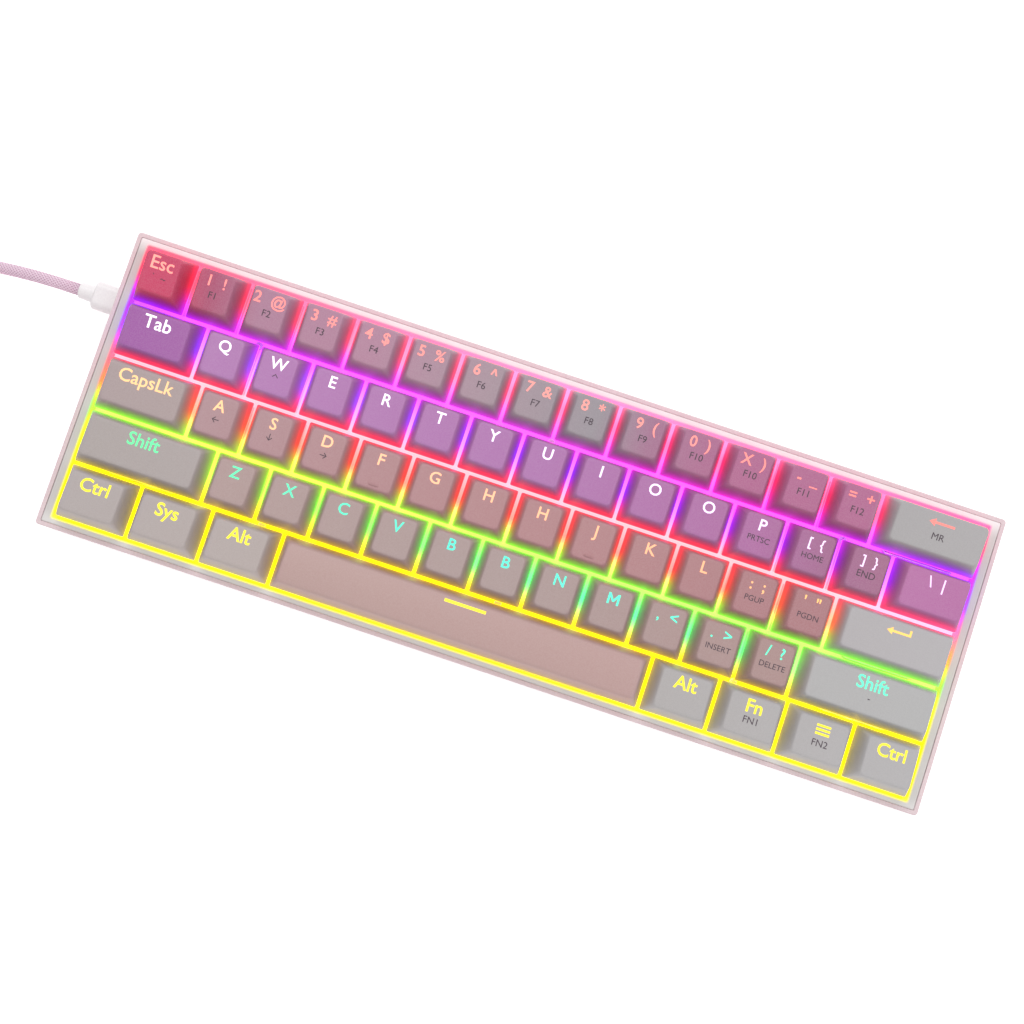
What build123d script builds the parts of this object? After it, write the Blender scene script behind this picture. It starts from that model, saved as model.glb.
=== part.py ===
from build123d import *
from math import cos, pi, radians, sin, tan
import os

# A compact mechanical keyboard with 65 lit keys and a detachable braided cable. Millimetres throughout.
# Two frames are used. The deck frame has its origin in the middle of the key field on the upper face of
# the switch plate, +X to the user's right, +Y away from the user and +Z out of the plate. The object's
# frame has its origin under the middle of the case on the table. The deck leans by the typing angle.

# ------------------------------------------------------------------ key field
letter_pitch = 17.86            # from one letter key to the next along a row
row_pitch = 18.3                # from one row to the next
key_gap = 0.95                  # between two neighbouring caps at their skirts
key_travel = 4.0
# Each row, rear row first: node name, then the width of each of its keys in letter pitches.
rows = (
    (("escape_key", (1,)), ("number_keys_1_2", (1, 1)), ("number_keys_3_4", (1, 1)),
     ("number_keys_5_6", (1, 1)), ("number_keys_7_8", (1, 1)), ("number_keys_9_0", (1, 1)),
     ("symbol_keys_x_minus_equals", (1, 1, 1)), ("backspace_key", (2,))),
    (("tab_key", (1.5,)), ("letter_keys_q_w", (1, 1)), ("letter_keys_e_r", (1, 1)),
     ("letter_keys_t_y", (1, 1)), ("letter_keys_u_i", (1, 1)), ("letter_keys_o_o", (1, 1)),
     ("letter_keys_p_brackets", (1, 1, 1)), ("backslash_key", (1.5,))),
    (("caps_lock_key", (1.75,)), ("letter_keys_a_s", (1, 1)), ("letter_keys_d_f", (1, 1)),
     ("letter_keys_g_h", (1, 1)), ("letter_keys_h_j_k", (1, 1, 1)),
     ("letter_keys_l_semicolon_quote", (1, 1, 1)), ("enter_key", (2.25,))),
    (("left_shift_key", (2.4,)), ("letter_keys_z_x", (1, 1)), ("letter_keys_c_v", (1, 1)),
     ("letter_keys_b_b", (1, 1)), ("letter_keys_n_m", (1, 1)),
     ("punctuation_keys_comma_dot_slash", (1, 1, 1)), ("right_shift_key", (2.6,))),
    (("left_ctrl_key", (4 / 3,)), ("system_key", (4 / 3,)), ("left_alt_key", (4 / 3,)),
     ("space_bar", (104 / 15,)), ("right_alt_key", (19 / 15,)), ("fn_key", (19 / 15,)),
     ("menu_key", (19 / 15,)), ("right_ctrl_key", (19 / 15,))),
)
homing_keys = (("letter_keys_d_f", 1), ("letter_keys_h_j_k", 1))
wide_key_stabiliser = 11.94     # from the stem of a wide key to each of its stabilisers
space_stabiliser = 50.0
stabilised_keys = {
    "backspace_key": wide_key_stabiliser, "enter_key": wide_key_stabiliser,
    "left_shift_key": wide_key_stabiliser, "right_shift_key": wide_key_stabiliser,
    "space_bar": space_stabiliser,
}

# ------------------------------------------------------------------ keycaps
skirt_height = 6.1              # lower edge of a cap above the plate, at rest
cap_heights = (11.2, 9.7, 9.0, 9.6, 9.9)        # rear row to front row, at the middle of the top
cap_tilts = (8.0, 5.0, 1.0, -4.0, -6.0)         # lean of the top, positive towards the user
cap_side_inset = 2.7            # of the top from the skirt, left and right
cap_front_inset = 2.4
cap_rear_inset = 1.9
cap_wall = 1.3
cap_roof = 1.5
cap_skirt_radius = 0.5
cap_top_radius = 1.6
dish_depth = 0.55
dish_lip = 0.25                 # flat left at each side of the dish
space_crown_radius = 30.0
cap_post_diameter = 5.5
cap_post_lift = 0.8             # lower end of the post above the skirt
homing_bar = (3.2, 0.6, 0.5)
homing_bar_offset = 5.0         # in front of the top's middle

# ------------------------------------------------------------------ switch
cutout_side = 14.0              # square hole in the plate
housing_clearance = 0.05        # each side, housing in the cutout
flange_side = cutout_side + 1.6
flange_thickness = 1.0
plate_to_board = 5.0            # upper face of the plate to the upper face of the board
housing_wall = 1.25
housing_floor = 1.8
upper_housing_top = 6.6         # above the plate
upper_base = (cutout_side - 0.2, cutout_side + 0.4)
upper_crest = (cutout_side - 3.4, cutout_side - 2.6)
upper_wall = 0.7
upper_roof = 1.0
upper_draft = 0.4                # the housing's walls thicken by this on the way down to the base
stem_block = (7.0, 5.5)
stem_opening_clearance = 0.2    # each side, stem in the upper housing
stem_shoulder_width = cutout_side - 4.4
stem_bottom = 0.9               # lower end of the stem's block above the plate, at rest
stem_top = 6.5
shoulder_clearance = 0.4        # under the roof of the upper housing
cross_length = 4.0
cross_bars = (1.3, 1.1)
cross_height = 3.6
cross_clearance = 0.05
spring_outer = 4.0
spring_wire = 0.4
spring_pocket_clearance = 0.25
spring_pocket_roof = 5.0        # above the plate
pole_diameter = 2.2
pole_clearance = 0.2
pole_overlap = 0.5              # pole inside the lower housing's bore, at rest
post_diameter = 4.0
post_below_housing = 3.4
pole_end_gap = 0.2              # under the pole at full travel
lamp = (3.0, 2.2, 1.4)
lamp_offset = cutout_side / 2 - 2.4
lamp_notch_clearance = 0.2
blade = (0.9, 0.3)
blade_places = ((-3.2, 2.4 - cutout_side / 2), (2.54, 1.92 - cutout_side / 2))
blade_top = 2.0
blade_end = 3.3                 # below the lower housing
blade_slot_clearance = 0.05

# ------------------------------------------------------------------ stabilisers
stabiliser_body = (6.2, 12.0)
stabiliser_clearance = 0.1      # each side, body in the plate
stabiliser_gap = 0.2            # under the posts of a cap, at full travel
slider_clearance = 0.1          # each side, the cross of a slider in its housing
stabiliser_floor = 0.8
stabiliser_flange = (0.5, 0.8)  # width past the body, thickness
slider_block = (3.6, 5.0)
slider_bottom = 0.2
slider_top = 5.6
wire_diameter = 1.2
wire_lift = 0.9                 # middle of the wire above the plate
wire_offset = 8.6               # long bar in front of the keys' middle
wire_leg_end = 3.9              # legs stop this far in front of the keys' middle
wire_bend_radius = 1.6
wire_hole_clearance = 0.15

# ------------------------------------------------------------------ plate, board and screws
plate_thickness = 1.5
plate_margin = 2.2              # past the key field
board_thickness = 1.6
board_margin = 0.3
board_hole_clearance = 0.1
blade_hole_diameter = 1.3
screw_diameter = 1.6
screw_length = 7.0
screw_head = (2.5, 1.2)
screw_recess = (1.5, 0.4, 0.55)
screw_hole_clearance = 0.15
thread_clearance = 0.02
boss_hole_below_screw = 0.5
screw_places = ((-100.0, 1), (0.0, 1), (100.0, 1), (-80.0, 4), (0.0, 4), (80.0, 4))
boss_diameter = 4.0
boss_hole_clearance = 0.3
# Chips on the lower face of the board: x, the boundary between rows that each is level with, size.
chips = (
    (-60.0, 1, (7.0, 7.0, 1.0)), (48.0, 1, (6.0, 6.0, 0.9)), (-30.0, 3, (6.0, 6.0, 0.9)),
    (-69.5, 1, (3.2, 2.5, 0.8)), (-128.0, 2, (4.0, 3.0, 1.1)), (70.0, 3, (5.0, 4.0, 1.1)),
)

# ------------------------------------------------------------------ case
side_border = 4.9               # key field to the outer face of the case, left and right
front_border = 4.0              # the same, front and rear
rim_wall = 1.4
rim_groove = 0.1                # between the case's rim and the top frame
frame_gap = 0.5                 # key field to the top frame
rim_height = 6.0                # above the plate
case_corner_radius = 1.2
frame_corner_radius = 0.5
rim_chamfer = 0.3
ledge_gap = 1.0                 # key field to the lower inner wall, which forms the plate's ledge
typing_angle = 5.0
case_floor = 2.2
plate_rise = 18.2               # middle of the plate's upper face above the table
case_clearance = 1.2            # case above the table
foot = (22.0, 9.0)
foot_recess = 0.8
foot_inset = (25.0, 11.0)
foot_clearance = 0.1            # each side, foot in its recess
foot_chamfer = 0.4
lug = (8.0, 0.35, 0.8)
lug_height = 2.0
lug_clearance = 0.15
lug_spots_long = (-90.0, 90.0)

# ------------------------------------------------------------------ USB-C socket and plug
port_row = 1                    # the port is level with this boundary between rows
socket_shell = (8.94, 3.2)
socket_wall = 0.25
socket_depth = 7.3
socket_inset = 0.5              # behind the case's outer face
tongue = (6.6, 0.7, 4.8)
socket_back = 1.0               # wall at the inner end of the socket
port_clearance = 0.3
port_reach = 10.0               # of the hole for the port, from just outside the case
plug_shell = (8.24, 2.4)
plug_shell_wall = 0.3
plug_shell_length = 6.2
plug_grip = (9.4, 6.4, 10.5)    # width, height, length of the wider step
plug_grip_radius = 2.4
plug_grip_chamfer = 0.6
plug_neck = (5.8, 5.0)          # diameter, length of the narrower step
plug_neck_tip = 5.3
plug_stand_off = 0.3            # wider step to the case

# ------------------------------------------------------------------ cable and its far plug
cord_diameter = 4.0
turn_pitch = cord_diameter + 0.1
coil_mean_radius = 23.6
coil_columns = 3
coil_layers = 4
coil_shift = 57.5               # along -X, from the neck's end to the coil's middle
coil_edge_radius = 1.8
tail_angle = 210.0              # where the last turn leaves the coil, about its middle
usb_a_grip = (15.6, 8.0, 21.0)
usb_a_grip_radius = 1.6
usb_a_neck = (6.6, 5.0, 11.0)   # diameter at the grip, at the cable, length
usb_a_shell = (12.0, 4.5, 13.0)
usb_a_shell_wall = 0.35
usb_a_tongue = (10.6, 1.8, 11.5)

# ------------------------------------------------------------------ derived sizes
field_width = letter_pitch * sum(width for _, widths in rows[0] for width in widths)
field_depth = row_pitch * len(rows)
case_width = field_width + 2 * side_border
case_depth = field_depth + 2 * front_border
board_top = -plate_to_board
board_bottom = board_top - board_thickness
housing_side = cutout_side - 2 * housing_clearance
floor_top = board_top + housing_floor
stabiliser_wall = (stabiliser_body[0] - cross_length) / 2 - slider_clearance
stabiliser_top = skirt_height + cap_post_lift - key_travel - stabiliser_gap
post_bottom = board_top - post_below_housing
pole_tip = floor_top - pole_overlap
pole_bore_bottom = pole_tip - key_travel - pole_end_gap
deep = 60.0                     # longer than any cut has to reach

# The deck leans back about X and is moved so that the case is centred over the origin.
lean_cos = cos(radians(typing_angle))
lean_sin = sin(radians(typing_angle))
rear_wall_foot = (case_clearance - plate_rise - case_depth / 2 * lean_sin) / lean_cos
front_reach = -case_depth / 2 * lean_cos - rim_height * lean_sin
rear_reach = case_depth / 2 * lean_cos - rear_wall_foot * lean_sin
deck_shift = -(front_reach + rear_reach) / 2
deck = Location((0, deck_shift, plate_rise), (typing_angle, 0, 0))


def to_object(x, y, z):
    """A point of the deck frame, in the object's frame."""
    return Vector(x, deck_shift + y * lean_cos - z * lean_sin, plate_rise + y * lean_sin + z * lean_cos)


def box(width, depth, low, high):
    """A box on the deck, centred in plan, from one height to another."""
    return Pos(0, 0, low) * Box(width, depth, high - low, align=(Align.CENTER, Align.CENTER, Align.MIN))


def rod(diameter, low, high):
    """An upright cylinder from one height to another."""
    return Pos(0, 0, low) * Cylinder(diameter / 2, high - low, align=(Align.CENTER, Align.CENTER, Align.MIN))


def block(width, depth, radius, low, high):
    """A box with round upright corners."""
    return Pos(0, 0, low) * extrude(RectangleRounded(width, depth, radius), high - low)


def save(name, solids, place=deck):
    """Write the separate solids of one node in the object's frame."""
    placed = [place * solid for group in solids for solid in group.solids()]
    export_step(Compound(children=placed) if len(placed) > 1 else placed[0], f"parts/{name}.step")


# ------------------------------------------------------------------ where each key is
def key_places():
    """Each key's node, its number in that node, row, middle on the deck and width between boundaries."""
    places = []
    for row, groups in enumerate(rows):
        x = -field_width / 2
        y = field_depth / 2 - (row + 0.5) * row_pitch
        for name, widths in groups:
            for number, units in enumerate(widths):
                width = units * letter_pitch
                places.append((name, number, row, x + width / 2, y, width))
                x += width
    return places


keys = key_places()
stabilisers = [
    (name, x + side * stabilised_keys[name], y)
    for name, _, _, x, y, _ in keys if name in stabilised_keys for side in (-1, 1)
]


# ------------------------------------------------------------------ keycaps
def cap_shell(row, width, inset, drop, low):
    """The tapered body of a cap, its faces moved inwards by inset and its top lowered by drop."""
    base_width = width - key_gap - 2 * inset
    base_depth = row_pitch - key_gap - 2 * inset
    top_width = width - key_gap - 2 * cap_side_inset - 2 * inset
    top_depth = row_pitch - key_gap - cap_front_inset - cap_rear_inset - 2 * inset
    top_height = skirt_height + cap_heights[row] - drop
    base = Pos(0, 0, low) * RectangleRounded(base_width, base_depth, cap_skirt_radius)
    top_place = Location((0, (cap_front_inset - cap_rear_inset) / 2, top_height), (cap_tilts[row], 0, 0))
    top = top_place * RectangleRounded(top_width, top_depth, max(cap_top_radius - inset, 0.4))
    return loft([base, top], ruled=True), top_place, top_width


def cap_post(x, row):
    """The socket under a cap, with the cross-shaped hole that grips a stem."""
    low = skirt_height + cap_post_lift
    post = rod(cap_post_diameter, low, skirt_height + cap_heights[row] - cap_roof / 2)
    slot_top = stem_top + cross_height + cross_clearance
    return Pos(x, 0, 0) * (post - cross(cross_clearance, low - 1, slot_top))


def cross(clearance, low, high):
    """The cross of a stem, or with a clearance the hole for it."""
    length = cross_length + 2 * clearance
    bar = box(length, cross_bars[0] + 2 * clearance, low, high)
    return bar + box(cross_bars[1] + 2 * clearance, length, low, high)


def keycap(name, number, row, width):
    outer, top_place, top_width = cap_shell(row, width, 0, 0, skirt_height)
    inner, _, _ = cap_shell(row, width, cap_wall, cap_roof, skirt_height - 0.01)
    if name == "space_bar":
        crown = Rot(0, 90, 0) * Cylinder(space_crown_radius, 2 * width)
        outer = outer & top_place * Pos(0, 0, -space_crown_radius) * crown
    else:
        half = top_width / 2 - dish_lip
        dish_radius = (half ** 2 + dish_depth ** 2) / (2 * dish_depth)
        dish = Rot(90, 0, 0) * Cylinder(dish_radius, 2 * row_pitch)
        outer = outer - top_place * Pos(0, 0, dish_radius - dish_depth) * dish
    cap = outer - inner
    offsets = [0]
    if name in stabilised_keys:
        offsets += [-stabilised_keys[name], stabilised_keys[name]]
    for offset in offsets:
        cap = cap + cap_post(offset, row)
    if (name, number) in homing_keys:
        bar = Box(*homing_bar)
        cap = cap + top_place * Pos(0, -homing_bar_offset, -dish_depth + homing_bar[2] / 4) * bar
    return cap


# ------------------------------------------------------------------ switches
def stem():
    shoulders = box(stem_shoulder_width, stem_block[1], stem_bottom,
                    upper_housing_top - upper_roof - shoulder_clearance)
    body = box(*stem_block, stem_bottom, stem_top) + shoulders
    pocket = rod(spring_outer + 2 * spring_pocket_clearance, stem_bottom - 1, spring_pocket_roof)
    pole = rod(pole_diameter, pole_tip, spring_pocket_roof + 0.5)
    return body - pocket + pole + cross(0, stem_top, stem_top + cross_height)


def lower_housing():
    inside = housing_side - 2 * housing_wall
    body = box(housing_side, housing_side, board_top, 0) + box(flange_side, flange_side, 0, flange_thickness)
    body = body + rod(post_diameter, post_bottom, board_top) - box(inside, inside, floor_top, deep)
    body = body - rod(pole_diameter + 2 * pole_clearance, pole_bore_bottom, floor_top + 1)
    notch = box(lamp[0] + 2 * lamp_notch_clearance, lamp[1] + 2 * lamp_notch_clearance, -deep, floor_top + 1)
    body = body - Pos(0, lamp_offset, 0) * notch
    slot = [side + 2 * blade_slot_clearance for side in blade]
    for x, y in blade_places:
        body = body - Pos(x, y, 0) * box(*slot, -deep, floor_top + 1)
    return body


def upper_housing():
    base = Pos(0, 0, flange_thickness) * Rectangle(*upper_base)
    crest = Pos(0, 0, upper_housing_top) * Rectangle(*upper_crest)
    base_hole = Pos(0, 0, flange_thickness - 0.01) * Rectangle(*(side - 2 * upper_wall for side in upper_base))
    crest_hole = Pos(0, 0, upper_housing_top - upper_roof) * Rectangle(
        *(side - 2 * upper_wall + 2 * upper_draft for side in upper_crest))
    shell = loft([base, crest], ruled=True) - loft([base_hole, crest_hole], ruled=True)
    opening = [side + 2 * stem_opening_clearance for side in stem_block]
    return shell - box(*opening, 0, deep)


def spring():
    tube = rod(spring_outer, floor_top, spring_pocket_roof)
    return tube - rod(spring_outer - 2 * spring_wire, floor_top - 1, deep)


def contact_blade():
    return box(*blade, board_top - blade_end, blade_top)


# ------------------------------------------------------------------ stabilisers
def stabiliser_housing():
    width, depth = stabiliser_body
    over, thick = stabiliser_flange
    body = box(width, depth, board_top, stabiliser_top)
    body = body + box(width + 2 * over, depth + 2 * over, 0, thick)
    inside = (width - 2 * stabiliser_wall, depth - 4 * stabiliser_wall)
    body = body - box(*inside, board_top + stabiliser_floor, deep)
    hole = Cylinder(wire_diameter / 2 + wire_hole_clearance, depth / 2)
    return body - Pos(0, -depth / 2, wire_lift) * Rot(90, 0, 0) * hole


def slider():
    return box(*slider_block, slider_bottom, slider_top) + cross(0, slider_top, stem_top + cross_height)


def stabiliser_wire(offset):
    route = FilletPolyline(
        (-offset, -wire_leg_end, wire_lift), (-offset, -wire_offset, wire_lift),
        (offset, -wire_offset, wire_lift), (offset, -wire_leg_end, wire_lift), radius=wire_bend_radius)
    return tube(route, wire_diameter)


def tube(route, diameter):
    """A round tube along a route of straight runs and arcs."""
    return sweep(Plane(origin=route @ 0, z_dir=route % 0) * Circle(diameter / 2), path=route)


# ------------------------------------------------------------------ plate and board
def boundary_y(boundary):
    """Where the boundary below that many rows is."""
    return field_depth / 2 - boundary * row_pitch


def screw_spots():
    return [(x, boundary_y(boundary)) for x, boundary in screw_places]


def plate():
    body = box(field_width + 2 * plate_margin, field_depth + 2 * plate_margin, -plate_thickness, 0)
    holes = [Pos(x, y, 0) * box(cutout_side, cutout_side, -deep, deep) for _, _, _, x, y, _ in keys]
    width, depth = (side + 2 * stabiliser_clearance for side in stabiliser_body)
    holes += [Pos(x, y, 0) * box(width, depth, -deep, deep) for _, x, y in stabilisers]
    shank = screw_diameter + 2 * screw_hole_clearance
    holes += [Pos(x, y, 0) * rod(shank, -deep, deep) for x, y in screw_spots()]
    return body - holes


def board():
    body = box(field_width + 2 * board_margin, field_depth + 2 * board_margin, board_bottom, board_top)
    holes = []
    for _, _, _, x, y, _ in keys:
        holes.append(Pos(x, y, 0) * rod(post_diameter + 2 * board_hole_clearance, -deep, 0))
        holes += [Pos(x + bx, y + by, 0) * rod(blade_hole_diameter, -deep, 0) for bx, by in blade_places]
    holes += [Pos(x, y, 0) * rod(boss_diameter + 2 * boss_hole_clearance, -deep, 0) for x, y in screw_spots()]
    return body - holes


def plate_screw():
    shank = rod(screw_diameter, -screw_length, 0)
    head = rod(screw_head[0], 0, screw_head[1])
    length, width, depth = screw_recess
    recess = box(length, width, screw_head[1] - depth, deep) + box(width, length, screw_head[1] - depth, deep)
    return shank + head - recess


def chip(size):
    return box(size[0], size[1], board_bottom - size[2], board_bottom)


# ------------------------------------------------------------------ case
port_y = boundary_y(port_row)
port_z = board_bottom - socket_shell[1] / 2


def capsule(width, height, depth):
    """A flat capsule on its side, width along Y and height along Z, that runs along +X from the origin."""
    outline = Plane.YZ * SlotOverall(width, height)
    return extrude(outline, depth)


def above_table(height):
    """Everything above a level plane, in the object's frame."""
    return Pos(0, 0, height) * Box(2 * case_width, 4 * case_depth, 4 * deep,
                                   align=(Align.CENTER, Align.CENTER, Align.MIN))


def lug_places():
    """Middle of each snap lug at the frame's outer face, and its turn about Z."""
    half_width = case_width / 2 - rim_wall - rim_groove
    half_depth = case_depth / 2 - rim_wall - rim_groove
    long_sides = [(x, side * half_depth, 0) for x in lug_spots_long for side in (-1, 1)]
    return long_sides + [(side * half_width, 0, 90) for side in (-1, 1)]


def lug_block(clearance):
    length, proud, height = lug
    return Box(length + 2 * clearance, 2 * (proud + clearance), height + 2 * clearance)


def bottom_case():
    outer = block(case_width, case_depth, case_corner_radius, -deep, rim_height)
    outer = chamfer(outer.faces().sort_by(Axis.Z)[-1].edges(), rim_chamfer)
    upper = block(case_width - 2 * rim_wall, case_depth - 2 * rim_wall, frame_corner_radius,
                  -plate_thickness, deep)
    lower = box(field_width + 2 * ledge_gap, field_depth + 2 * ledge_gap, -2 * deep, 0)
    body = (deck * outer) & above_table(case_clearance)
    body = body - deck * upper - ((deck * lower) & above_table(case_clearance + case_floor))
    for x, y in screw_spots():
        boss = deck * Pos(x, y, 0) * rod(boss_diameter, -deep, -plate_thickness)
        body = body + (boss & above_table(case_clearance + case_floor / 2))
    shank = screw_diameter + 2 * thread_clearance
    for x, y in screw_spots():
        body = body - deck * Pos(x, y, 0) * rod(shank, -screw_length - boss_hole_below_screw, 0)
    port = capsule(plug_shell[0] + 4 * port_clearance, socket_shell[1] + 2 * port_clearance, port_reach)
    body = body - deck * Pos(-case_width / 2 - 1, port_y, port_z) * port
    for x, y, turn in lug_places():
        body = body - deck * Pos(x, y, lug_height) * Rot(0, 0, turn) * lug_block(lug_clearance)
    for spot in foot_spots():
        recess = block(foot[0], foot[1], foot[1] / 2 - 0.01, case_clearance - 1, case_clearance + foot_recess)
        body = body - Pos(*spot) * recess
    return body


def foot_spots():
    half_width = case_width / 2 - foot_inset[0]
    half_depth = case_depth / 2 - foot_inset[1]
    return [(x, y, 0) for x in (-half_width, half_width) for y in (-half_depth, half_depth)]


def rubber_foot():
    length, width = (side - 2 * foot_clearance for side in foot)
    pad = block(length, width, width / 2 - 0.01, 0, case_clearance + foot_recess)
    return chamfer(pad.faces().sort_by(Axis.Z)[0].edges(), foot_chamfer)


def top_frame():
    inset = rim_wall + rim_groove
    outer = block(case_width - 2 * inset, case_depth - 2 * inset, frame_corner_radius, 0, rim_height)
    hole = block(field_width + 2 * frame_gap, field_depth + 2 * frame_gap, frame_corner_radius, -1, deep)
    ring = outer - hole
    ring = chamfer(ring.faces().sort_by(Axis.Z)[-1].edges(), rim_chamfer)
    for x, y, turn in lug_places():
        ring = ring + Pos(x, y, lug_height) * Rot(0, 0, turn) * lug_block(0)
    return ring


# ------------------------------------------------------------------ USB-C socket and plug
def usb_c_socket():
    width, height = socket_shell
    shell = capsule(width, height, socket_depth)
    hollow = capsule(width - 2 * socket_wall, height - 2 * socket_wall, socket_depth - socket_back)
    body = shell - Pos(-0.01, 0, 0) * hollow
    tab = Box(tongue[2], tongue[0], tongue[1], align=(Align.MAX, Align.CENTER, Align.CENTER))
    return Pos(-case_width / 2 + socket_inset, port_y, port_z) * (body + Pos(socket_depth - socket_back / 2, 0, 0) * tab)


def usb_c_plug_shell():
    width, height = plug_shell
    wall = plug_shell_wall
    shell = capsule(width, height, plug_shell_length)
    hollow = capsule(width - 2 * wall, height - 2 * wall, plug_shell_length + 1)
    return Pos(-case_width / 2 - plug_stand_off, port_y, port_z) * (shell - hollow)


def usb_c_plug_housing():
    width, height, length = plug_grip
    outline = Plane.YZ * RectangleRounded(width, height, plug_grip_radius)
    grip = chamfer(extrude(outline, -length).faces().sort_by(Axis.X)[0].edges(), plug_grip_chamfer)
    neck_root = Plane((-length + 0.01, 0, 0), z_dir=(-1, 0, 0)) * Circle(plug_neck[0] / 2)
    neck_tip = Plane((-length - plug_neck[1], 0, 0), z_dir=(-1, 0, 0)) * Circle(plug_neck_tip / 2)
    neck = loft([neck_root, neck_tip], ruled=True)
    return Pos(-case_width / 2 - plug_stand_off, port_y, port_z) * (grip + neck)


# ------------------------------------------------------------------ cable
# The cable leaves the neck along -X, comes down to the table and runs into the lowest outer turn of a coil.
# Its last turn leaves the coil's top outer turn, comes down beside it and ends in a USB-A plug.
neck_end = to_object(-case_width / 2 - plug_stand_off - plug_grip[2] - plug_neck[1], port_y, port_z)
cord_radius = cord_diameter / 2
outer_turn = coil_mean_radius + turn_pitch * (coil_columns - 1) / 2
coil_middle = Vector(neck_end.X - coil_shift, neck_end.Y - outer_turn, 0)
coil_height = turn_pitch * (coil_layers - 1) + cord_diameter
lead_route = (
    (0, neck_end.Z), (-14, neck_end.Z), (-31, cord_radius + 3.6), (-43, cord_radius + 0.3),
    (-coil_shift, cord_radius),
)
top_turn = turn_pitch * (coil_layers - 1) + cord_radius
usb_a_level = usb_a_grip[1] / 2
# The tail's points: how far along it lies, and how high.
tail_route = (
    (-2, top_turn), (10.5, top_turn), (23, usb_a_level + 6.2), (36, usb_a_level + 1.6),
    (48, usb_a_level), (54, usb_a_level),
)


def corner_radii(points):
    """The arc at each inner point: 0.45 of the shorter run over the tangent of half the turn."""
    radii = []
    for before, here, after in zip(points, points[1:], points[2:]):
        turn = (here - before).get_angle(after - here)
        shorter = min((here - before).length, (after - here).length)
        radii.append(0.45 * shorter / tan(radians(turn) / 2))
    return radii


def cord(name, points):
    """A tube along the points, with its volume checked against its section times its length."""
    radii = corner_radii(points)
    route = FilletPolyline(*points, radius=radii)
    body = tube(route, cord_diameter)
    expected = pi * cord_radius ** 2 * route.length
    print(name, "length", round(route.length, 1), "radii", [round(r, 1) for r in radii],
          "volume", round(body.volume, 1), "expected", round(expected, 1))
    return body


lead_points = [Vector(neck_end.X + along, neck_end.Y, height) for along, height in lead_route]
tail_start = coil_middle + Vector(outer_turn, 0, 0).rotate(Axis.Z, tail_angle)
tail_direction = Vector(0, 1, 0).rotate(Axis.Z, tail_angle)
tail_points = [tail_start + tail_direction * along + Vector(0, 0, height) for along, height in tail_route]


def coil():
    """The outer shape of the wound turns, as one closed ring."""
    reach = turn_pitch * (coil_columns - 1) / 2 + cord_radius
    section = Plane.XZ * Pos(coil_mean_radius, coil_height / 2) * RectangleRounded(
        2 * reach, coil_height, coil_edge_radius)
    return Pos(coil_middle.X, coil_middle.Y, 0) * revolve(section, Axis.Z)


usb_a_place = Plane(origin=tail_points[-1], x_dir=tail_direction, z_dir=(0, 0, 1)).location


def usb_a_housing():
    width, height, length = usb_a_grip
    root, tip, neck_length = usb_a_neck
    outline = Plane((neck_length, 0, 0), x_dir=(0, 1, 0), z_dir=(1, 0, 0)) * RectangleRounded(
        width, height, usb_a_grip_radius)
    grip = extrude(outline, length)
    start = Plane((0, 0, 0), z_dir=(1, 0, 0)) * Circle(tip / 2)
    end = Plane((neck_length + 0.01, 0, 0), z_dir=(1, 0, 0)) * Circle(root / 2)
    return grip + loft([start, end], ruled=True)


def usb_a_plug_shell():
    width, height, length = usb_a_shell
    wall = usb_a_shell_wall
    start = usb_a_neck[2] + usb_a_grip[2]
    align = (Align.MIN, Align.CENTER, Align.CENTER)
    shell = Box(length, width, height, align=align)
    hollow = Box(length + 1, width - 2 * wall, height - 2 * wall, align=align)
    tab = Box(usb_a_tongue[2], usb_a_tongue[0], usb_a_tongue[1], align=align)
    low = -(height - 2 * wall - usb_a_tongue[1]) / 2
    return Pos(start, 0, 0) * (shell - hollow + Pos(0, 0, low) * tab)


# ------------------------------------------------------------------ write every node
os.makedirs("parts", exist_ok=True)

key_solids = {}
one_stem = stem()
one_slider = slider()
for name, number, row, x, y, width in keys:
    group = key_solids.setdefault(name, [])
    group.append(Pos(x, y, 0) * keycap(name, number, row, width))
    group.append(Pos(x, y, 0) * one_stem)
for name, x, y in stabilisers:
    key_solids[name].append(Pos(x, y, 0) * one_slider)
for name, solids in key_solids.items():
    save(name, solids)

one_lower = lower_housing()
one_upper = upper_housing()
one_spring = spring()
one_blade = contact_blade()
one_lamp = Pos(0, lamp_offset, 0) * box(lamp[0], lamp[1], board_top, board_top + lamp[2])
centres = [Pos(x, y, 0) for _, _, _, x, y, _ in keys]
save("switch_lower_housings", [place * one_lower for place in centres])
save("switch_upper_housings", [place * one_upper for place in centres])
save("switch_springs", [place * one_spring for place in centres])
save("switch_contact_blades", [place * Pos(x, y, 0) * one_blade for place in centres for x, y in blade_places])
save("backlight_lamps", [place * one_lamp for place in centres])

one_stabiliser = stabiliser_housing()
save("stabiliser_housings", [Pos(x, y, 0) * one_stabiliser for _, x, y in stabilisers])
save("stabiliser_wires", [Pos(x, y, 0) * stabiliser_wire(stabilised_keys[name])
                          for name, _, _, x, y, _ in keys if name in stabilised_keys])

save("switch_plate", [plate()])
save("circuit_board", [board()])
save("board_chips", [Pos(x, boundary_y(boundary), 0) * chip(size) for x, boundary, size in chips])
one_screw = plate_screw()
save("plate_screws", [Pos(x, y, 0) * one_screw for x, y in screw_spots()])
save("top_frame", [top_frame()])
save("bottom_case", [bottom_case()], Location())
one_foot = rubber_foot()
save("rubber_feet", [Pos(*spot) * one_foot for spot in foot_spots()], Location())

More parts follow.
